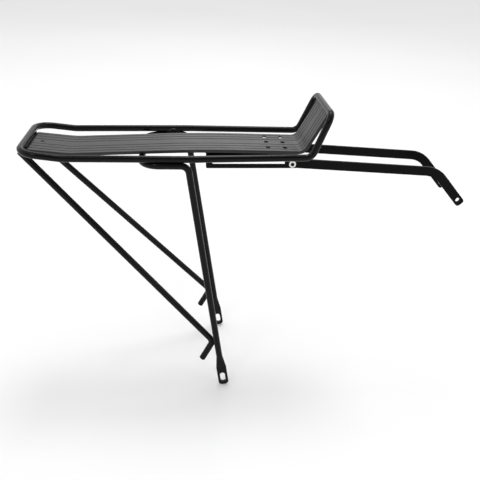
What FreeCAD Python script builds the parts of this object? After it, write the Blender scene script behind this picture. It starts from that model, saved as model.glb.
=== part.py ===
import FreeCAD, Part
import os
import math
import Sketcher

# Bicycle rear rack. Millimetres, +X towards the front of the bicycle, +Y to its left, +Z up.
# Origin: halfway between the two dropout eyelet slots of the legs.

SIZES = {
    # rods
    "rod_diameter": 8.4,
    # overall
    "rack_height": 315.0,          # eyelet slot centre up to the rail centre line
    "foot_x": 47.0,                # eyelet slots, forward of the legs' top bend
    "foot_half_width": 74.2,
    # carrying loop, measured from the legs' top bend and the rail centre line
    "rear_x": 197.5,               # rear cross rod, behind the top bend
    "rear_rise": 6.1,
    "rear_bend_x": 148.0,
    "rear_half_width": 59.8,
    "mid_half_width": 63.4,
    "front_half_width": 56.9,
    "front_bend_x": 151.2,
    "hoop_top_x": 172.9,
    "hoop_top_z": 51.1,
    "hoop_half_width": 51.0,
    "corner_radius": 22.0,
    "hoop_bend_radius": 12.0,
    # leg frame
    "leg_top_x": 1.2,
    "leg_bend_radius": 10.0,
    "cross_bar_x": 55.0,           # cross bar, behind the top bend
    "cross_bend_radius": 22.0,
    "foot_length": 36.0,           # slot centre up to the start of the flattening
    "foot_flat_height": 17.0,
    "foot_straight": 12.0,         # upright length above the foot, then a slight bend inwards
    "foot_bend_radius": 150.0,
    "foot_width": 13.6,
    "foot_thickness": 3.7,
    "foot_slot_width": 7.0,
    "foot_slot_length": 15.5,
    "foot_tip_drop": 12.0,         # slot centre down to the tip
    "foot_tip_radius": 5.2,
    # struts with their hook pegs
    "strut_top_x": 200.4,
    "strut_top_half": 34.35,
    "strut_low_height": 56.1,      # strut's bend, above the eyelet slots
    "strut_bend_radius": 10.0,
    "peg_back": 15.0,              # peg's end from the bend: backwards, outwards and down
    "peg_out": 0.9,
    "peg_drop": 28.1,
    # deck
    "deck_width": 70.4,
    "deck_thickness": 1.8,
    "deck_flange": 3.9,
    "deck_front_x": 144.5,         # corner between the deck and its front ramp
    "deck_front_z": 0.6,
    "deck_bend_radius": 11.0,
    "rib_groove_depth": 0.6,
    "rib_groove_width": 1.7,
    "rib_pitch_share": 0.1307,     # groove spacing as a share of the deck's width
    "deck_hole_width": 5.4,
    "deck_hole_length": 7.6,
    "deck_hole_rear_x": 101.7,
    "deck_hole_pitch_x": 21.4,
    "deck_hole_pitch_y": 21.7,
    "rear_hole_diameter": 5.0,
    "rear_hole_x": 179.5,
    # slotted channel under the deck
    "channel_width": 60.0,
    "channel_wall": 2.5,
    "channel_top_z": 3.6,          # web top, below the rail centre line
    "channel_bottom_z": 23.3,
    "channel_rear_x": 23.6,
    "channel_length": 115.4,
    "slot_z": 15.6,                # slot centre, below the rail centre line
    "slot_width": 5.3,
    "slot_rear_x": 31.0,
    "slot_length": 103.6,
    # stays
    "stay_height": 12.0,
    "stay_thickness": 2.8,
    "stay_gap": 0.3,
    "screw_x": 131.5,
    "stay_tail": 9.0,
    "stay_bend_x": 320.6,
    "stay_bend_drop": 11.9,
    "stay_bend_radius": 32.0,
    "stay_eye_x": 355.4,
    "stay_eye_drop": 51.0,
    "stay_eye_diameter": 5.8,
    "stay_tip": 8.2,               # eye centre to the end
    "stay_tip_radius": 4.0,
    # fasteners
    "screw_diameter": 5.0,
    "head_diameter": 9.0,
    "head_height": 4.6,
    "socket_size": 4.0,
    "socket_depth": 2.6,
    "screw_hole_clearance": 0.08,  # radial
    "washer_diameter": 10.0,
    "washer_thickness": 1.0,
    "nut_size": 8.0,
    "nut_height": 5.0,
    # welds
    "weld_radius": 1.7,
}
S = SIZES
V = FreeCAD.Vector

doc = FreeCAD.newDocument("rear_rack")
sheet = doc.addObject("Spreadsheet::Sheet", "Dims")
for row, (key, value) in enumerate(SIZES.items(), start=1):
    sheet.set("A%d" % row, key)
    sheet.set("B%d" % row, str(value))
    sheet.setAlias("B%d" % row, key)
doc.recompute()

NODES = []
ROD = S["rod_diameter"]
R = ROD / 2.0
SIDES = (("left", 1.0), ("right", -1.0))
WEB_Z = -S["channel_top_z"]
SLOT_Z = -S["slot_z"]


def at(x, y, z):
    """Point given from the legs' top bend and the rail centre line, in the part's frame."""
    return V(x - S["foot_x"], y, z + S["rack_height"])


def bind_origin(obj):
    """Place a body whose sketches are drawn from the top bend and the rail centre line."""
    obj.Placement = FreeCAD.Placement(at(0, 0, 0), FreeCAD.Rotation())
    obj.setExpression("Placement.Base.x", "-Dims.foot_x")
    obj.setExpression("Placement.Base.z", "Dims.rack_height")


def node(obj, label):
    """Name a finished piece."""
    obj.Label = label
    NODES.append(obj)
    return obj


# ---- rods ---------------------------------------------------------------------------------

def fillet_points(before, corner, after, radius):
    """Start, middle and end of the round bend at a corner."""
    u = (before - corner).normalize()
    v = (after - corner).normalize()
    half = u.getAngle(v) / 2.0
    reach = radius / math.tan(half)
    bisector = (u + v).normalize()
    centre = corner + bisector * (radius / math.sin(half))
    middle = centre - bisector * radius
    return corner + u * reach, middle, corner + v * reach


def bent_wire(points, radii, closed=False):
    """Centre line through the points, with a round bend at each inner corner."""
    count = len(points)
    edges = []
    corners = range(count) if closed else range(1, count - 1)
    bends = {}
    for i in corners:
        before = points[(i - 1) % count]
        after = points[(i + 1) % count]
        bends[i] = fillet_points(V(before), V(points[i]), V(after), radii[i])
    start = 0 if not closed else None
    spans = range(count) if closed else range(count - 1)
    for i in spans:
        j = (i + 1) % count
        first = bends[i][2] if i in bends else points[i]
        last = bends[j][0] if j in bends else points[j]
        if i in bends and (closed or i != start):
            a, b, c = bends[i]
            edges.append(Part.Arc(a, b, c).toShape())
        edges.append(Part.LineSegment(first, last).toShape())
    return Part.Wire(edges)


def rod(name, points, radii, closed=False):
    """Round rod swept along a bent centre line."""
    path = doc.addObject("Part::Feature", name + "_path")
    path.Shape = bent_wire(points, radii, closed)
    first = path.Shape.Edges[0]
    start = first.valueAt(first.FirstParameter)
    direction = first.tangentAt(first.FirstParameter)
    ring = doc.addObject("Part::Circle", name + "_ring")
    ring.Radius = R
    ring.setExpression("Radius", "Dims.rod_diameter / 2")
    ring.Placement = FreeCAD.Placement(start, FreeCAD.Rotation(V(0, 0, 1), direction))
    sweep = doc.addObject("Part::Sweep", name + "_rod")
    sweep.Sections = [ring]
    sweep.Spine = (path, ["Edge%d" % (i + 1) for i in range(len(path.Shape.Edges))])
    sweep.Solid = True
    sweep.Frenet = False
    doc.recompute()
    return sweep


def cut(name, base, tools):
    """Base with the tools taken out of it, one after the other."""
    result = base
    for i, tool in enumerate(tools):
        step = doc.addObject("Part::Cut", "%s_cut%d" % (name, i + 1))
        step.Base = result
        step.Tool = tool
        result = step
    doc.recompute()
    return result


# ---- sketch helpers -----------------------------------------------------------------------

def new_body(name):
    body = doc.addObject("PartDesign::Body", name)
    doc.recompute()
    return body


def new_sketch(body, name, plane, offset=0.0):
    """Sketch on one of the body's own planes, moved along the plane's normal."""
    sketch = body.newObject("Sketcher::SketchObject", name)
    support = [f for f in body.Origin.OriginFeatures if f.Role == plane][0]
    sketch.AttachmentSupport = [(support, "")]
    sketch.MapMode = "FlatFace"
    sketch.AttachmentOffset = FreeCAD.Placement(V(0, 0, offset), FreeCAD.Rotation())
    return sketch


def add_outline(sketch, pieces):
    """Closed outline of ("line", a, b) and ("arc", a, middle, b) pieces."""
    for piece in pieces:
        if piece[0] == "line":
            sketch.addGeometry(Part.LineSegment(V(*piece[1], 0), V(*piece[2], 0)), False)
        else:
            sketch.addGeometry(Part.Arc(V(*piece[1], 0), V(*piece[2], 0), V(*piece[3], 0)), False)


def add_circle(sketch, x, y, radius, expression=None):
    index = sketch.addGeometry(Part.Circle(V(x, y, 0), V(0, 0, 1), radius), False)
    if expression:
        sketch.addConstraint(Sketcher.Constraint("Radius", index, radius))
        number = sketch.ConstraintCount - 1
        sketch.setExpression("Constraints[%d]" % number, expression)


def add_slot(sketch, x, y, length, width, along_x=True):
    """Oblong hole outline, given by its overall length and its width."""
    r = width / 2.0
    a = length / 2.0 - r
    if along_x:
        add_outline(sketch, [
            ("line", (x - a, y + r), (x + a, y + r)),
            ("arc", (x + a, y + r), (x + a + r, y), (x + a, y - r)),
            ("line", (x + a, y - r), (x - a, y - r)),
            ("arc", (x - a, y - r), (x - a - r, y), (x - a, y + r)),
        ])
    else:
        add_outline(sketch, [
            ("line", (x - r, y - a), (x - r, y + a)),
            ("arc", (x - r, y + a), (x, y + a + r), (x + r, y + a)),
            ("line", (x + r, y + a), (x + r, y - a)),
            ("arc", (x + r, y - a), (x, y - a - r), (x - r, y - a)),
        ])


def pad(body, sketch, length, expression=None, both=False):
    feature = body.newObject("PartDesign::Pad", sketch.Name + "_pad")
    feature.Profile = sketch
    feature.Length = length
    if expression:
        feature.setExpression("Length", expression)
    if both:
        feature.SideType = "Symmetric"
    doc.recompute()
    return feature


def through_pocket(body, sketch):
    """Cut right through the body on both sides of the sketch; it has to remove material."""
    before = body.Shape.Volume
    feature = body.newObject("PartDesign::Pocket", sketch.Name + "_pocket")
    feature.Profile = sketch
    feature.Type = "Length"
    feature.Length = 2000.0
    feature.SideType = "Symmetric"
    doc.recompute()
    if not body.Shape.Volume < before - 0.1:
        raise RuntimeError("no material removed by " + sketch.Name)
    return feature


# ---- carrying loop ------------------------------------------------------------------------

def make_rail_loop():
    """One rod: rear cross rod, two side rails and the front hoop."""
    half = [
        (at(-S["rear_x"], S["rear_half_width"], S["rear_rise"]), S["corner_radius"]),
        (at(-S["rear_bend_x"], S["rear_half_width"] + 0.9, 0), 40.0),
        (at(0, S["mid_half_width"], 0), 150.0),
        (at(S["front_bend_x"], S["front_half_width"], 0), S["hoop_bend_radius"]),
        (at(S["hoop_top_x"], S["hoop_half_width"], S["hoop_top_z"]), S["hoop_bend_radius"]),
    ]
    other = [(V(p.x, -p.y, p.z), r) for p, r in reversed(half)]
    corners = half + other
    points = [p for p, r in corners]
    radii = [r for p, r in corners]
    return node(rod("loop", points, radii, closed=True), "rail_loop")


# ---- leg frame ----------------------------------------------------------------------------

def lean_angle():
    """Forward lean of the legs, in degrees from upright."""
    return math.degrees(math.atan2(S["foot_x"] - S["leg_top_x"], S["rack_height"] - ROD))


def foot_top(side):
    lean = math.radians(lean_angle())
    return V(-S["foot_length"] * math.sin(lean), side * S["foot_half_width"],
             S["foot_length"] * math.cos(lean))


def make_foot(name, side):
    """Flattened rod end with its upright slot; drawn upright, then leaned with the leg."""
    body = new_body(name)
    top = new_sketch(body, name + "_top", "XY_Plane", S["foot_length"])
    k = R * math.sqrt(0.5)
    add_outline(top, [
        ("arc", (-k, k), (0, R), (k, k)),
        ("arc", (k, k), (R, 0), (k, -k)),
        ("arc", (k, -k), (0, -R), (-k, -k)),
        ("arc", (-k, -k), (-R, 0), (-k, k)),
    ])
    flat = new_sketch(body, name + "_flat", "XY_Plane", S["foot_flat_height"])
    add_slot(flat, 0, 0, S["foot_width"], S["foot_thickness"])
    doc.recompute()
    loft = body.newObject("PartDesign::AdditiveLoft", name + "_taper")
    loft.Profile = flat
    loft.Sections = [top]
    loft.Ruled = False
    doc.recompute()
    plate = new_sketch(body, name + "_plate", "XZ_Plane")
    w = S["foot_width"] / 2.0
    r = S["foot_tip_radius"]
    c = r - r * math.sqrt(0.5)
    low = -S["foot_tip_drop"]
    high = S["foot_flat_height"]
    add_outline(plate, [
        ("line", (-w, low + r), (-w, high)),
        ("line", (-w, high), (w, high)),
        ("line", (w, high), (w, low + r)),
        ("arc", (w, low + r), (w - c, low + c), (w - r, low)),
        ("line", (w - r, low), (r - w, low)),
        ("arc", (r - w, low), (c - w, low + c), (-w, low + r)),
    ])
    pad(body, plate, S["foot_thickness"], "Dims.foot_thickness", both=True)
    slot = new_sketch(body, name + "_slot", "XZ_Plane")
    add_slot(slot, 0, 0, S["foot_slot_length"], S["foot_slot_width"], along_x=False)
    through_pocket(body, slot)
    body.Placement = FreeCAD.Placement(V(0, side * S["foot_half_width"], 0),
                                       FreeCAD.Rotation(V(0, 1, 0), -lean_angle()))
    body.setExpression("Placement.Base.y", "%d * Dims.foot_half_width" % side)
    doc.recompute()
    return body


def make_leg_frame():
    """One rod bent to both legs and the cross bar under the deck, with flattened feet."""
    under = -ROD
    corner_half = S["mid_half_width"] - 1.0
    lean = math.radians(lean_angle())
    upward = V(-math.sin(lean), 0, math.cos(lean))
    left = [
        (foot_top(1.0), 0.0),
        (foot_top(1.0) + upward * S["foot_straight"], S["foot_bend_radius"]),
        (at(S["leg_top_x"], S["mid_half_width"], under), S["leg_bend_radius"]),
        (at(-S["cross_bar_x"], corner_half, under), S["cross_bend_radius"]),
    ]
    right = [(V(p.x, -p.y, p.z), r) for p, r in reversed(left)]
    corners = left + right
    bar = rod("legs", [p for p, r in corners], [r for p, r in corners])
    feet = [make_foot(side_name + "_foot", side) for side_name, side in SIDES]
    frame = doc.addObject("Part::MultiFuse", "leg_frame_fuse")
    frame.Shapes = [bar] + feet
    doc.recompute()
    return node(frame, "leg_frame")


# ---- struts -------------------------------------------------------------------------------

def leg_centre(side, height):
    """Point on a leg's centre line at this height above the eyelet slots."""
    lean = math.radians(lean_angle())
    low = foot_top(1.0) + V(-math.sin(lean), 0, math.cos(lean)) * S["foot_straight"]
    high = at(S["leg_top_x"], S["mid_half_width"], -ROD)
    share = (height - low.z) / (high.z - low.z)
    point = low + (high - low) * share
    return V(point.x, side * point.y, point.z)


def strut_bend(side):
    """Corner of a strut's centre line, inboard of the leg and just behind it."""
    return leg_centre(side, S["strut_low_height"]) - V(0.655 * ROD, side * 0.68 * ROD, 0)


def make_strut(name, side, loop, legs):
    """Brace from the loop's rear corner to the leg, its end bent back as a hook peg."""
    bend = strut_bend(side)
    points = [
        at(-S["strut_top_x"], side * S["strut_top_half"], 0.0),
        bend,
        bend + V(-S["peg_back"], side * S["peg_out"], -S["peg_drop"]),
    ]
    bar = rod(name, points, [0, S["strut_bend_radius"], 0])
    end = points[2]
    tip = doc.addObject("Part::Fillet", name + "_rounded")
    tip.Base = bar
    chosen = []
    for i, edge in enumerate(bar.Shape.Edges, start=1):
        if len(edge.Vertexes) == 1 and abs((edge.CenterOfMass - end).Length) < 0.01:
            chosen.append((i, 1.6, 1.6))
    tip.Edges = chosen
    doc.recompute()
    return node(cut(name, tip, [loop, legs]), name)


# ---- deck ---------------------------------------------------------------------------------

def deck_points():
    """Corners of the deck's top line, from the rear tuck to the front end, with bend radii."""
    corner = (S["deck_front_x"], S["deck_front_z"])
    front = (S["hoop_top_x"] - 2.0, S["hoop_top_z"] - 2.6)
    rear_bend = (-S["rear_bend_x"] + 5.0, -2.1)
    slope = S["rear_rise"] / (S["rear_x"] - S["rear_bend_x"])
    tuck = (-S["rear_x"] + 5.6, rear_bend[1] + slope * 0.85 * (S["rear_x"] - S["rear_bend_x"] - 0.6))
    tail = (tuck[0] - 3.6, tuck[1] - 3.0)
    crown = (15.0, 3.3)
    return [(tail, 0.0), (tuck, 6.0), (rear_bend, 90.0), (crown, 1600.0),
            (corner, S["deck_bend_radius"]), (front, 0.0)]


def make_deck(loop, struts):
    """Ribbed plate with down-turned edges, swept along the deck's side line."""
    body = new_body("deck_body")
    path = new_sketch(body, "deck_path", "XZ_Plane")
    corners = deck_points()
    points = [V(p[0], p[1], 0) for p, r in corners]
    wire = bent_wire(points, [r for p, r in corners])
    for edge in wire.Edges:
        if edge.Curve.TypeId == "Part::GeomLine":
            path.addGeometry(Part.LineSegment(edge.Vertexes[0].Point, edge.Vertexes[1].Point), False)
        else:
            a = edge.valueAt(edge.FirstParameter)
            b = edge.valueAt((edge.FirstParameter + edge.LastParameter) / 2.0)
            c = edge.valueAt(edge.LastParameter)
            path.addGeometry(Part.Arc(a, b, c), False)
    doc.recompute()
    section = body.newObject("Sketcher::SketchObject", "deck_section")
    start = points[0]
    heading = (points[1] - points[0]).normalize()
    along = V(heading.x, 0, heading.y)
    up = V(-heading.y, 0, heading.x)
    side = up.cross(along)
    matrix = FreeCAD.Matrix(side.x, up.x, along.x, start.x,
                            side.y, up.y, along.y, 0,
                            side.z, up.z, along.z, start.y,
                            0, 0, 0, 1)
    section.Placement = FreeCAD.Placement(matrix)
    w = S["deck_width"] / 2.0
    t = S["deck_thickness"]
    f = S["deck_flange"]
    g = S["rib_groove_depth"]
    b = S["rib_groove_width"] / 2.0
    round_out = 1.3
    profile = []
    pitch = S["rib_pitch_share"] * S["deck_width"]
    grooves = [k * pitch for k in (-3, -2, -1, 1, 2, 3)]
    top = [(-w + round_out, 0.0)]
    for y in grooves:
        top += [(y - b, 0.0), (y - b * 0.55, -g), (y + b * 0.55, -g), (y + b, 0.0)]
    top.append((w - round_out, 0.0))
    for i in range(len(top) - 1):
        profile.append(("line", top[i], top[i + 1]))
    k = round_out * (1.0 - math.sqrt(0.5))
    profile.append(("arc", (w - round_out, 0.0), (w - k, -k), (w, -round_out)))
    low = [(w, -round_out), (w, -f), (w - t, -f), (w - t, -t), (-w + t, -t), (-w + t, -f),
           (-w, -f), (-w, -round_out)]
    for i in range(len(low) - 1):
        profile.append(("line", low[i], low[i + 1]))
    profile.append(("arc", (-w, -round_out), (-w + k, -k), (-w + round_out, 0.0)))
    add_outline(section, profile)
    doc.recompute()
    pipe = body.newObject("PartDesign::AdditivePipe", "deck_sweep")
    pipe.Profile = section
    pipe.Spine = (path, ["Edge%d" % (i + 1) for i in range(len(wire.Edges))])
    doc.recompute()
    holes = new_sketch(body, "deck_holes", "XY_Plane")
    for i in (0, 1):
        for j in (-1, 0, 1):
            add_slot(holes, S["deck_hole_rear_x"] + i * S["deck_hole_pitch_x"],
                     j * S["deck_hole_pitch_y"], S["deck_hole_length"], S["deck_hole_width"],
                     along_x=False)
    add_circle(holes, -S["rear_hole_x"], 0, S["rear_hole_diameter"] / 2.0,
               "Dims.rear_hole_diameter / 2")
    through_pocket(body, holes)
    bind_origin(body)
    doc.recompute()
    return node(cut("deck", body, [loop] + struts), "deck")


# ---- slotted channel ----------------------------------------------------------------------

def make_channel():
    """Upside-down channel under the deck, with one long slot in each side."""
    body = new_body("stay_channel_body")
    sketch = new_sketch(body, "channel_section", "YZ_Plane", S["channel_rear_x"])
    w = S["channel_width"] / 2.0
    t = S["channel_wall"]
    top = WEB_Z
    low = -S["channel_bottom_z"]
    ro = 4.0
    ri = ro - t
    ko = ro * (1.0 - math.sqrt(0.5))
    ki = ri * (1.0 - math.sqrt(0.5))
    add_outline(sketch, [
        ("line", (-w + ro, top), (w - ro, top)),
        ("arc", (w - ro, top), (w - ko, top - ko), (w, top - ro)),
        ("line", (w, top - ro), (w, low)),
        ("line", (w, low), (w - t, low)),
        ("line", (w - t, low), (w - t, top - ro)),
        ("arc", (w - t, top - ro), (w - t - ki, top - t - ki), (w - ro, top - t)),
        ("line", (w - ro, top - t), (-w + ro, top - t)),
        ("arc", (-w + ro, top - t), (-w + t + ki, top - t - ki), (-w + t, top - ro)),
        ("line", (-w + t, top - ro), (-w + t, low)),
        ("line", (-w + t, low), (-w, low)),
        ("line", (-w, low), (-w, top - ro)),
        ("arc", (-w, top - ro), (-w + ko, top - ko), (-w + ro, top)),
    ])
    pad(body, sketch, S["channel_length"], "Dims.channel_length")
    slot = new_sketch(body, "channel_slot", "XZ_Plane")
    add_slot(slot, S["slot_rear_x"] + S["slot_length"] / 2.0, SLOT_Z, S["slot_length"],
             S["slot_width"])
    through_pocket(body, slot)
    slotted = body.Tip
    names = []
    for i, edge in enumerate(slotted.Shape.Edges, start=1):
        span = edge.Vertexes[-1].Point - edge.Vertexes[0].Point
        low_edge = abs(edge.CenterOfMass.z - low) < 0.01
        if low_edge and abs(abs(span.y) - t) < 0.01 and abs(span.x) < 0.01:
            names.append("Edge%d" % i)
    fillet = body.newObject("PartDesign::Fillet", "channel_corners")
    fillet.Base = (slotted, names)
    fillet.Radius = 2.0
    doc.recompute()
    bind_origin(body)
    doc.recompute()
    return node(body, "stay_channel")


# ---- stays and their fasteners ------------------------------------------------------------

def stay_inner():
    """Inner face of the left stay."""
    return S["channel_width"] / 2.0 + S["stay_gap"]


def offset_path(points, radii, distance):
    """Pieces of a bent line moved sideways by a distance, left of travel."""
    wire = bent_wire([V(x, z, 0) for x, z in points], radii)
    pieces = []
    for edge in wire.Edges:
        a = edge.valueAt(edge.FirstParameter)
        b = edge.valueAt((edge.FirstParameter + edge.LastParameter) / 2.0)
        c = edge.valueAt(edge.LastParameter)
        moved = []
        for p, u in ((a, edge.FirstParameter), (b, (edge.FirstParameter + edge.LastParameter) / 2.0),
                     (c, edge.LastParameter)):
            d = edge.tangentAt(u)
            moved.append((p.x - d.y * distance, p.y + d.x * distance))
        if edge.Curve.TypeId == "Part::GeomLine":
            pieces.append(("line", moved[0], moved[2]))
        else:
            pieces.append(("arc", moved[0], moved[1], moved[2]))
    return pieces


def reverse_pieces(pieces):
    turned = []
    for piece in reversed(pieces):
        turned.append((piece[0],) + tuple(reversed(piece[1:])))
    return turned


def stay_tip(eye, along, half):
    """Rounded square end of a stay, from its upper edge to its lower edge."""
    ex, ez = along
    reach = S["stay_tip"]
    r = S["stay_tip_radius"]
    k = r * math.sqrt(0.5)

    def spot(forward, across):
        return (eye[0] + ex * forward - ez * across, eye[1] + ez * forward + ex * across)

    return [
        ("line", spot(0, half), spot(reach - r, half)),
        ("arc", spot(reach - r, half), spot(reach - r + k, half - r + k), spot(reach, half - r)),
        ("line", spot(reach, half - r), spot(reach, r - half)),
        ("arc", spot(reach, r - half), spot(reach - r + k, r - half - k), spot(reach - r, -half)),
        ("line", spot(reach - r, -half), spot(0, -half)),
    ]


def make_stay(name, side):
    """Flat bar with an edgewise bend, a screw hole and an eye at the seat-stay end."""
    body = new_body(name + "_body")
    inner = stay_inner()
    offset = -inner - S["stay_thickness"] if side > 0 else inner
    sketch = new_sketch(body, name + "_outline", "XZ_Plane", offset)
    h = S["stay_height"] / 2.0
    screw = (S["screw_x"], SLOT_Z)
    bend = (S["stay_bend_x"], SLOT_Z - S["stay_bend_drop"])
    eye = (S["stay_eye_x"], SLOT_Z - S["stay_eye_drop"])
    back = math.hypot(bend[0] - screw[0], bend[1] - screw[1])
    ux = (bend[0] - screw[0]) / back
    uz = (bend[1] - screw[1]) / back
    tail = S["stay_tail"] - h
    start = (screw[0] - ux * tail, screw[1] - uz * tail)
    upper = offset_path([start, bend, eye], [0, S["stay_bend_radius"], 0], h)
    lower = offset_path([start, bend, eye], [0, S["stay_bend_radius"], 0], -h)
    length = math.hypot(eye[0] - bend[0], eye[1] - bend[1])
    ex = (eye[0] - bend[0]) / length
    ez = (eye[1] - bend[1]) / length
    outline = list(upper)
    outline += stay_tip(eye, (ex, ez), h)
    outline += reverse_pieces(lower)
    outline.append(("arc", lower[0][1], (start[0] - ux * h, start[1] - uz * h), upper[0][1]))
    add_outline(sketch, outline)
    pad(body, sketch, S["stay_thickness"], "Dims.stay_thickness")
    holes = new_sketch(body, name + "_holes", "XZ_Plane")
    add_circle(holes, screw[0], screw[1], S["screw_diameter"] / 2.0 + S["screw_hole_clearance"],
               "Dims.screw_diameter / 2 + Dims.screw_hole_clearance")
    add_circle(holes, eye[0], eye[1], S["stay_eye_diameter"] / 2.0, "Dims.stay_eye_diameter / 2")
    through_pocket(body, holes)
    bind_origin(body)
    doc.recompute()
    return node(body, name)


def cylinder(name, radius, height, base, direction, expressions=None):
    shape = doc.addObject("Part::Cylinder", name)
    shape.Radius = radius
    shape.Height = height
    shape.Placement = FreeCAD.Placement(base, FreeCAD.Rotation(V(0, 0, 1), direction))
    for prop, expression in (expressions or {}).items():
        shape.setExpression(prop, expression)
    return shape


def hexagon(name, size, height, base, direction, size_expression, height_expression):
    """Six-sided prism given by its size across flats."""
    prism = doc.addObject("Part::Prism", name)
    prism.Polygon = 6
    prism.Circumradius = size / math.sqrt(3.0)
    prism.Height = height
    prism.Placement = FreeCAD.Placement(base, FreeCAD.Rotation(V(0, 0, 1), direction))
    prism.setExpression("Circumradius", size_expression + " / sqrt(3)")
    prism.setExpression("Height", height_expression)
    return prism


def make_fasteners(prefix, side):
    """Socket head screw from outside, washer and nut inside the channel."""
    out = V(0, side, 0)
    outer = stay_inner() + S["stay_thickness"] + 0.1
    inner = S["channel_width"] / 2.0 - S["channel_wall"] - 0.3
    nut_end = inner - S["washer_thickness"] - S["nut_height"]
    screw_end = nut_end - 1.0

    def place(y):
        return at(S["screw_x"], side * y, SLOT_Z)

    name = prefix + "_stay_screw"
    head = cylinder(name + "_head", S["head_diameter"] / 2.0, S["head_height"], place(outer), out,
                    {"Radius": "Dims.head_diameter / 2", "Height": "Dims.head_height"})
    shank = cylinder(name + "_shank", S["screw_diameter"] / 2.0, outer - screw_end + 0.5,
                     place(screw_end), out, {"Radius": "Dims.screw_diameter / 2"})
    doc.recompute()
    rounded = doc.addObject("Part::Fillet", name + "_rim")
    rounded.Base = head
    edges = []
    for i, edge in enumerate(head.Shape.Edges, start=1):
        if len(edge.Vertexes) == 1 and abs(abs(edge.CenterOfMass.y) - outer - S["head_height"]) < 0.01:
            edges.append((i, 0.6, 0.6))
    rounded.Edges = edges
    body = doc.addObject("Part::MultiFuse", name + "_blank")
    body.Shapes = [rounded, shank]
    key = hexagon(name + "_key", S["socket_size"], S["socket_depth"] + 1.0,
                  place(outer + S["head_height"] - S["socket_depth"]), out,
                  "Dims.socket_size", "Dims.socket_depth + 1")
    doc.recompute()
    node(cut(name, body, [key]), name)

    name = prefix + "_stay_washer"
    disc = cylinder(name + "_disc", S["washer_diameter"] / 2.0, S["washer_thickness"],
                    place(inner - S["washer_thickness"]), out,
                    {"Radius": "Dims.washer_diameter / 2", "Height": "Dims.washer_thickness"})
    hole = cylinder(name + "_hole", S["screw_diameter"] / 2.0 + 0.15, S["washer_thickness"] + 2.0,
                    place(inner - S["washer_thickness"] - 1.0), out,
                    {"Radius": "Dims.screw_diameter / 2 + 0.15"})
    doc.recompute()
    node(cut(name, disc, [hole]), name)

    name = prefix + "_stay_nut"
    hexed = hexagon(name + "_hex", S["nut_size"], S["nut_height"] * 0.72,
                    place(inner - S["washer_thickness"] - S["nut_height"] * 0.72), out,
                    "Dims.nut_size", "Dims.nut_height * 0.72")
    collar = cylinder(name + "_collar", S["nut_size"] * 0.45, S["nut_height"],
                      place(inner - S["washer_thickness"] - S["nut_height"]), out,
                      {"Radius": "Dims.nut_size * 0.45", "Height": "Dims.nut_height"})
    blank = doc.addObject("Part::MultiFuse", name + "_blank")
    blank.Shapes = [hexed, collar]
    bore = cylinder(name + "_bore", S["screw_diameter"] / 2.0, S["nut_height"] + 4.0,
                    place(nut_end - 2.0), out, {"Radius": "Dims.screw_diameter / 2"})
    doc.recompute()
    node(cut(name, blank, [bore]), name)


# ---- welds --------------------------------------------------------------------------------

def fuse_node(label, parts):
    joined = doc.addObject("Part::Compound", label + "_group")
    joined.Links = parts
    doc.recompute()
    return node(joined, label)


def ellipsoid(name, radii, centre):
    """Smooth bead; radii are given upwards, sideways and along the rack."""
    shape = doc.addObject("Part::Ellipsoid", name)
    shape.Radius1 = radii[0]
    shape.Radius3 = radii[1]
    shape.Radius2 = radii[2]
    shape.Angle1 = -90
    shape.Angle2 = 90
    shape.Angle3 = 360
    shape.Placement = FreeCAD.Placement(centre, FreeCAD.Rotation())
    return shape


def ball(name, radius, centre):
    shape = doc.addObject("Part::Sphere", name)
    shape.Radius = radius
    shape.Placement = FreeCAD.Placement(centre, FreeCAD.Rotation())
    return shape


def block(name, low, high):
    shape = doc.addObject("Part::Box", name)
    shape.Length = high[0] - low[0]
    shape.Width = high[1] - low[1]
    shape.Height = high[2] - low[2]
    shape.Placement = FreeCAD.Placement(at(*low), FreeCAD.Rotation())
    return shape


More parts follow.
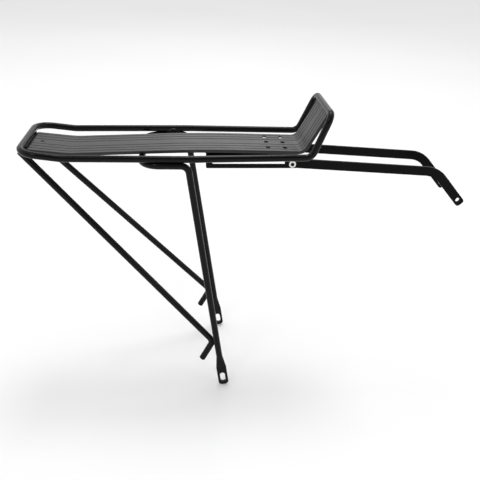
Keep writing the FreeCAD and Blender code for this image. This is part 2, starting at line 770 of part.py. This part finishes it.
def make_welds(loop, legs, deck, struts, channel):
    """Weld beads that join the rods, the deck and the channel."""
    bead = S["weld_radius"]
    # legs' horizontal runs to the rails, on the inboard side
    parts = []
    for side_name, side in SIDES:
        name = "leg_rail_weld_" + side_name
        bead_size = (0.62 * ROD, 0.45 * ROD, 10.0)
        raw = ellipsoid(name, bead_size, at(-18.5, side * (S["mid_half_width"] - 0.525 * ROD), -R))
        parts.append(cut(name, raw, [loop, legs]))
    fuse_node("leg_rail_welds", parts)
    # strut tops to the loop
    parts = []
    for (side_name, side), strut in zip(SIDES, struts):
        name = "strut_top_weld_" + side_name
        centre = at(-S["strut_top_x"] + 2.3, side * (S["strut_top_half"] + 0.2), 1.6)
        parts.append(cut(name, ball(name, R * 1.12, centre), [loop, strut, deck]))
    fuse_node("strut_top_welds", parts)
    # strut bends to the legs
    parts = []
    for (side_name, side), strut in zip(SIDES, struts):
        name = "strut_leg_weld_" + side_name
        base = strut_bend(side) + V(1.4, side * 2.6, -3.5)
        raw = cylinder(name, bead, 8.0, base, V(0, 0, 1), {"Radius": "Dims.weld_radius"})
        parts.append(cut(name, raw, [legs, strut]))
    fuse_node("strut_leg_welds", parts)
    # deck ends to the loop's cross rods
    front_x = S["hoop_top_x"] - 0.5
    front_z = S["hoop_top_z"] - R - 1.5
    tail = deck_points()[0][0]
    parts = []
    for name, x, z in (("deck_weld_front", front_x, front_z),
                       ("deck_weld_rear", tail[0] - 0.5, tail[1] + 1.3)):
        raw = cylinder(name, bead, 50.0, at(x, -25.0, z), V(0, 1, 0), {"Radius": "Dims.weld_radius"})
        parts.append(cut(name, raw, [loop, deck]))
    fuse_node("deck_end_welds", parts)
    # deck edges to the cross bar
    parts = []
    for side_name, side in SIDES:
        name = "cross_bar_weld_" + side_name
        y = side * (S["deck_width"] / 2.0 - 1.0)
        raw = block(name, (-S["cross_bar_x"] - 2.6, y - 2.0, -ROD + 1.0), (-S["cross_bar_x"] + 2.6, y + 2.0, -1.6))
        parts.append(cut(name, raw, [legs, deck]))
    fuse_node("cross_bar_welds", parts)
    # pads between the deck and the channel
    parts = []
    for i, x in enumerate((29.0, 129.0)):
        for side_name, side in SIDES:
            name = "channel_pad_%s_%d" % (side_name, i)
            y = side * 11.0
            raw = block(name, (x, y - 5.0, WEB_Z), (x + 8.0, y + 5.0, 0.2))
            parts.append(cut(name, raw, [deck]))
    fuse_node("channel_pads", parts)


# ---- build --------------------------------------------------------------------------------

loop = make_rail_loop()
legs = make_leg_frame()
struts = [make_strut(side_name + "_strut", side, loop, legs) for side_name, side in SIDES]
deck = make_deck(loop, struts)
channel = make_channel()
for side_name, side in SIDES:
    make_stay(side_name + "_stay", side)
    make_fasteners(side_name, side)
make_welds(loop, legs, deck, struts, channel)
doc.recompute()

problems = []
for obj in doc.Objects:
    bad = [s for s in obj.State if s in ("Invalid", "Error")]
    if bad:
        problems.append("%s %s" % (obj.Name, bad))
os.makedirs("parts", exist_ok=True)
for obj in NODES:
    shape = obj.Shape
    if shape.isNull() or not shape.isValid():
        problems.append(obj.Label + " has no valid shape")
        continue
    shape.exportStep("parts/%s.step" % obj.Label)
    box = shape.BoundBox
    print("%-18s solids %d  volume %9.1f  x %.1f..%.1f  y %.1f..%.1f  z %.1f..%.1f" % (
        obj.Label, len(shape.Solids), shape.Volume, box.XMin, box.XMax, box.YMin, box.YMax,
        box.ZMin, box.ZMax))
for text in problems:
    print("PROBLEM", text)
if problems:
    raise RuntimeError("build has problems")
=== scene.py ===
"""Looks of a bicycle rear rack: powder-coated rods and deck, plated stay screws."""

import math

import bpy
from mathutils import Matrix, Vector


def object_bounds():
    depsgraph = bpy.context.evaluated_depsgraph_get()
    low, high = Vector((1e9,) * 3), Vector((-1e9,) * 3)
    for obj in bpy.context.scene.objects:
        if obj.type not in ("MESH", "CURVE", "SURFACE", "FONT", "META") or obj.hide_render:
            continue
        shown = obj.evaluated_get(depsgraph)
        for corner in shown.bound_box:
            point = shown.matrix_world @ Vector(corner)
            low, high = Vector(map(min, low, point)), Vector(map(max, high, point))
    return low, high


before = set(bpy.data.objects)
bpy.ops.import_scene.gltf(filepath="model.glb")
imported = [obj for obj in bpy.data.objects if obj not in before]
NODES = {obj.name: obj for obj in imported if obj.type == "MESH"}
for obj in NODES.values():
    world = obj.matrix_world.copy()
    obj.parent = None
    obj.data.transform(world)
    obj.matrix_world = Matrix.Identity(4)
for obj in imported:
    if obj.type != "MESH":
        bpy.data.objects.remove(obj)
CAD_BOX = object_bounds()
SCENE = bpy.context.scene
SCENE.view_settings.view_transform = "Standard"


# ---- sizes and looks used below -----------------------------------------------------------

PEEL_SCALE = 900.0            # orange peel of the powder coat, cycles per metre
FINE_SCALE = 3800.0           # finer grain on top of it
CLOUD_SCALE = 34.0            # slow change of tone along a rod
FLECK_SCALE = 520.0           # small dust-grey flecks
COAT_BUMP = 0.0002
PLATE_CLOUD_SCALE = 260.0
SCRATCH_SCALE = 2400.0
PLATE_BUMP = 0.00008
SOCKET_RADIUS = 0.0024        # radius of the painted shade in a screw head's hex socket
SOCKET_EDGE = 0.0002
# dark colour painted into a screw's hex socket as painted shade
SOCKET_SHADE_COLOUR = (0.010, 0.010, 0.011)
FLOOR_HALF = 14.0
MIDDLE = (0.0, 0.0, 0.2)      # point the lamps face
SKY_GLOW = 1.05


# ---- materials ----------------------------------------------------------------------------

def new_material(name):
    """Empty node material with its shader; returns the material, its tree and the shader."""
    mat = bpy.data.materials.new(name)
    mat.use_nodes = True
    tree = mat.node_tree
    shader = tree.nodes["Principled BSDF"]
    return mat, tree, shader


def add_noise(tree, scale, detail=3.0, roughness=0.5):
    """Noise texture in the object's own metres."""
    place = tree.nodes.get("place") or tree.nodes.new("ShaderNodeTexCoord")
    place.name = "place"
    noise = tree.nodes.new("ShaderNodeTexNoise")
    noise.inputs["Scale"].default_value = scale
    noise.inputs["Detail"].default_value = detail
    noise.inputs["Roughness"].default_value = roughness
    tree.links.new(place.outputs["Object"], noise.inputs["Vector"])
    return noise


def add_range(tree, source, low, high, start=0.3, end=0.7):
    """Source value from start..end mapped to low..high."""
    remap = tree.nodes.new("ShaderNodeMapRange")
    remap.inputs["From Min"].default_value = start
    remap.inputs["From Max"].default_value = end
    remap.inputs["To Min"].default_value = low
    remap.inputs["To Max"].default_value = high
    tree.links.new(source, remap.inputs["Value"])
    return remap.outputs["Result"]


def add_mix(tree, factor, first, second):
    """Colour between first and second."""
    mix = tree.nodes.new("ShaderNodeMix")
    mix.data_type = "RGBA"
    tree.links.new(factor, mix.inputs["Factor"])
    for socket, value in ((mix.inputs["A"], first), (mix.inputs["B"], second)):
        if isinstance(value, tuple):
            socket.default_value = value + (1.0,)
        else:
            tree.links.new(value, socket)
    return mix.outputs["Result"]


def add_bump(tree, shader, sources, distance):
    """Chain of bumps; sources are (height socket, strength)."""
    normal = None
    for height, strength in sources:
        bump = tree.nodes.new("ShaderNodeBump")
        bump.inputs["Strength"].default_value = strength
        bump.inputs["Distance"].default_value = distance
        tree.links.new(height, bump.inputs["Height"])
        if normal is not None:
            tree.links.new(normal, bump.inputs["Normal"])
        normal = bump.outputs["Normal"]
    tree.links.new(normal, shader.inputs["Normal"])


def coat_material(name, dark, light, rough_low, rough_high, grain, specular):
    """Powder coat: fine orange peel, faint cloudiness and small dust-grey flecks."""
    mat, tree, shader = new_material(name)
    peel = add_noise(tree, PEEL_SCALE, 2.0)
    fine = add_noise(tree, FINE_SCALE, 2.0)
    cloud = add_noise(tree, CLOUD_SCALE, 3.0)
    fleck = add_noise(tree, FLECK_SCALE, 4.0, 0.62)
    mixed = add_mix(tree, add_range(tree, cloud.outputs["Fac"], 0.0, 1.0), dark, light)
    worn = tuple(min(1.0, 1.6 * c + 0.002) for c in light)
    speck = add_range(tree, fleck.outputs["Fac"], 0.0, 0.55, 0.62, 0.74)
    tree.links.new(add_mix(tree, speck, mixed, worn), shader.inputs["Base Color"])
    rough = add_range(tree, cloud.outputs["Fac"], rough_low, rough_high)
    tree.links.new(rough, shader.inputs["Roughness"])
    shader.inputs["Specular IOR Level"].default_value = specular
    heights = ((peel.outputs["Fac"], grain), (fine.outputs["Fac"], grain * 0.6))
    add_bump(tree, shader, heights, COAT_BUMP)
    return mat


def plated_material(name, dark, light, rough_low, rough_high):
    """Plated steel with fine scratches and a cloudy sheen; returns what new_material does."""
    mat, tree, shader = new_material(name)
    cloud = add_noise(tree, PLATE_CLOUD_SCALE, 3.0)
    scratch = add_noise(tree, SCRATCH_SCALE, 4.0, 0.7)
    mixed = add_mix(tree, add_range(tree, cloud.outputs["Fac"], 0.0, 1.0), dark, light)
    tree.links.new(mixed, shader.inputs["Base Color"])
    rough = add_range(tree, scratch.outputs["Fac"], rough_low, rough_high)
    tree.links.new(rough, shader.inputs["Roughness"])
    shader.inputs["Metallic"].default_value = 1.0
    add_bump(tree, shader, ((scratch.outputs["Fac"], 0.12),), PLATE_BUMP)
    return mat, tree, shader


ROD_COAT = coat_material("rod_coat", (0.0012, 0.0011, 0.0010), (0.0020, 0.0019, 0.0018),
                         0.18, 0.25, 0.06, 0.17)
DECK_COAT = coat_material("deck_coat", (0.018, 0.018, 0.018), (0.024, 0.024, 0.0235),
                          0.38, 0.46, 0.30, 0.42)
PLATE_COAT = coat_material("plate_coat", (0.0012, 0.0012, 0.0013), (0.0030, 0.0030, 0.0030),
                           0.30, 0.38, 0.08, 0.09)
ZINC_STEEL = plated_material("zinc_plate", (0.50, 0.50, 0.50), (0.62, 0.62, 0.61), 0.30, 0.46)[0]


def screw_material(node, obj):
    """Bright plated head with painted shade in its hex socket, a dark disc masked by distance from
    the screw's axis.
    """
    mat, tree, shader = plated_material(node + "_plate", (0.62, 0.62, 0.60), (0.78, 0.78, 0.76),
                                        0.16, 0.30)
    bright = shader.inputs["Base Color"].links[0].from_socket
    corners = [Vector(corner) for corner in obj.bound_box]
    centre = sum(corners, Vector()) / len(corners)
    offset = tree.nodes.new("ShaderNodeVectorMath")
    offset.operation = "SUBTRACT"
    offset.inputs[1].default_value = centre
    tree.links.new(tree.nodes["place"].outputs["Object"], offset.inputs[0])
    flat = tree.nodes.new("ShaderNodeVectorMath")
    flat.operation = "MULTIPLY"
    flat.inputs[1].default_value = (1.0, 0.0, 1.0)
    tree.links.new(offset.outputs["Vector"], flat.inputs[0])
    reach = tree.nodes.new("ShaderNodeVectorMath")
    reach.operation = "LENGTH"
    tree.links.new(flat.outputs["Vector"], reach.inputs[0])
    # painted shade: inside the socket radius the head takes the dark socket colour, outside it
    # stays bright plate
    socket_shade_mask = add_range(tree, reach.outputs["Value"], 0.0, 1.0, SOCKET_RADIUS - SOCKET_EDGE,
                    SOCKET_RADIUS)
    tree.links.new(add_mix(tree, socket_shade_mask, SOCKET_SHADE_COLOUR, bright), shader.inputs["Base Color"])
    return mat


for node, obj in NODES.items():
    if node.endswith("_screw"):
        mat = screw_material(node, obj)
    elif node.endswith(("_washer", "_nut")):
        mat = ZINC_STEEL
    elif node == "deck":
        mat = DECK_COAT
    elif node in ("stay_channel", "left_stay", "right_stay"):
        mat = PLATE_COAT
    else:
        mat = ROD_COAT
    for slot_index in range(max(1, len(obj.material_slots))):
        if slot_index < len(obj.material_slots):
            obj.material_slots[slot_index].material = mat
        else:
            obj.data.materials.append(mat)


# ---- floor, light and camera --------------------------------------------------------------

def floor_material():
    """Pale seamless floor with the faintest paper mottling."""
    mat, tree, shader = new_material("pale_floor")
    cloud = add_noise(tree, 1.4, 2.0)
    tone = add_range(tree, cloud.outputs["Fac"], 0.0, 1.0)
    mixed = add_mix(tree, tone, (0.90, 0.90, 0.90), (0.92, 0.92, 0.92))
    tree.links.new(mixed, shader.inputs["Base Color"])
    shader.inputs["Roughness"].default_value = 0.9
    shader.inputs["Specular IOR Level"].default_value = 0.1
    return mat


FLOOR_Z = CAD_BOX[0].z
mesh = bpy.data.meshes.new("floor")
floor_corners = [(x * FLOOR_HALF, y * FLOOR_HALF, FLOOR_Z)
                 for x, y in ((-1, -1), (1, -1), (1, 1), (-1, 1))]
mesh.from_pydata(floor_corners, [], [(0, 1, 2, 3)])
floor = bpy.data.objects.new("floor", mesh)
mesh.materials.append(floor_material())
SCENE.collection.objects.link(floor)


def area_light(name, place, size, watts):
    """Square white soft box at place, facing the middle of the rack."""
    data = bpy.data.lights.new(name, "AREA")
    data.shape = "SQUARE"
    data.size = size
    data.energy = watts
    lamp = bpy.data.objects.new(name, data)
    SCENE.collection.objects.link(lamp)
    lamp.location = place
    lamp.rotation_euler = (Vector(MIDDLE) - Vector(place)).to_track_quat("-Z", "Y").to_euler()


area_light("key", (-1.2, -1.6, 2.6), 0.5, 8.0)
area_light("top", (0.1, 0.8, 2.8), 0.8, 20.0)
area_light("fill", (2.4, -1.2, 1.4), 0.6, 3.0)
area_light("back", (0.2, 2.6, 1.8), 0.7, 4.0)

world = bpy.data.worlds.new("studio")
SCENE.world = world
world.use_nodes = True
sky = world.node_tree
backdrop = sky.nodes["Background"]
backdrop.inputs["Color"].default_value = (1.0, 1.0, 1.0, 1.0)
heading = sky.nodes.new("ShaderNodeTexCoord")
split = sky.nodes.new("ShaderNodeSeparateXYZ")
sky.links.new(heading.outputs["Generated"], split.inputs["Vector"])
# the studio's near side is darker above the horizon, so that the rods show a lit top edge
rise = add_range(sky, split.outputs["Z"], 0.0, 1.0, 0.12, 0.35)
near_side = add_range(sky, split.outputs["Y"], 0.0, 0.75, -0.15, -0.55)
shade = sky.nodes.new("ShaderNodeMath")
shade.operation = "MULTIPLY"
sky.links.new(rise, shade.inputs[0])
sky.links.new(near_side, shade.inputs[1])
glow = add_range(sky, shade.outputs["Value"], SKY_GLOW, 0.0, 0.0, 1.0)
sky.links.new(glow, backdrop.inputs["Strength"])

camera_data = bpy.data.cameras.new("camera")
camera = bpy.data.objects.new("camera", camera_data)
SCENE.collection.objects.link(camera)
SCENE.camera = camera
camera_data.sensor_width = 36.0
camera_data.lens = 48.012
camera_data.clip_start = 0.05
camera_data.clip_end = 60.0
CAMERA_PLACE = Vector((-0.04650, -0.78694, 0.57174))
YAW = math.radians(5.190)
PITCH = math.radians(26.629)
ROLL = math.radians(1.785)
ahead = Vector((math.sin(YAW) * math.cos(PITCH), math.cos(YAW) * math.cos(PITCH), -math.sin(PITCH)))
level_right = Vector((math.cos(YAW), -math.sin(YAW), 0.0))
level_up = level_right.cross(ahead)
right = level_right * math.cos(ROLL) + level_up * math.sin(ROLL)
up = level_up * math.cos(ROLL) - level_right * math.sin(ROLL)
turn = Matrix((right, up, -ahead)).transposed().to_4x4()
camera.matrix_world = Matrix.Translation(CAMERA_PLACE) @ turn
